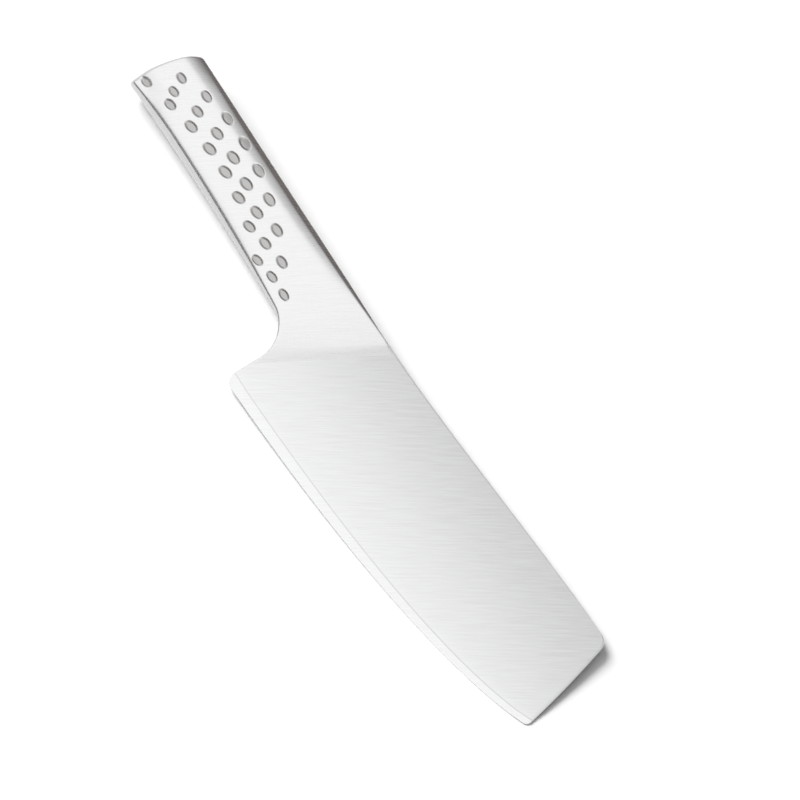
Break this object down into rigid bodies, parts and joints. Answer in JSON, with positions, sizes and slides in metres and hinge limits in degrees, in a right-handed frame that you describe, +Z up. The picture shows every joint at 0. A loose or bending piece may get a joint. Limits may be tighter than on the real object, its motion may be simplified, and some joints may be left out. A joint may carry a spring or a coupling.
{
  "type": "vegetable knife",
  "caption": "All-steel vegetable knife: broad flat-ground blade with a sloped tip, tang held between two welded half shells that form a hollow dimpled handle, balanced with sand",
  "frame": {"origin": "on the table, under the middle of the knife as it lies", "axes": "+X from the butt to the tip, +Y towards the spine, +Z up from the table through the flat of the lying knife"},
  "size_m": [0.2924, 0.0606, 0.0162],
  "materials": {
    "blade_steel": "flat-ground stainless steel with a satin grain across the blade",
    "handle_steel": "fine satin stainless steel sheet, welded seams ground flush",
    "fill_sand": "dry quartz sand"
  },
  "bodies": {
    "root": {"blade": "blade_steel", "handle_upper_shell": "handle_steel", "handle_lower_shell": "handle_steel", "balance_fill": "fill_sand"}
  },
  "joints": []
}
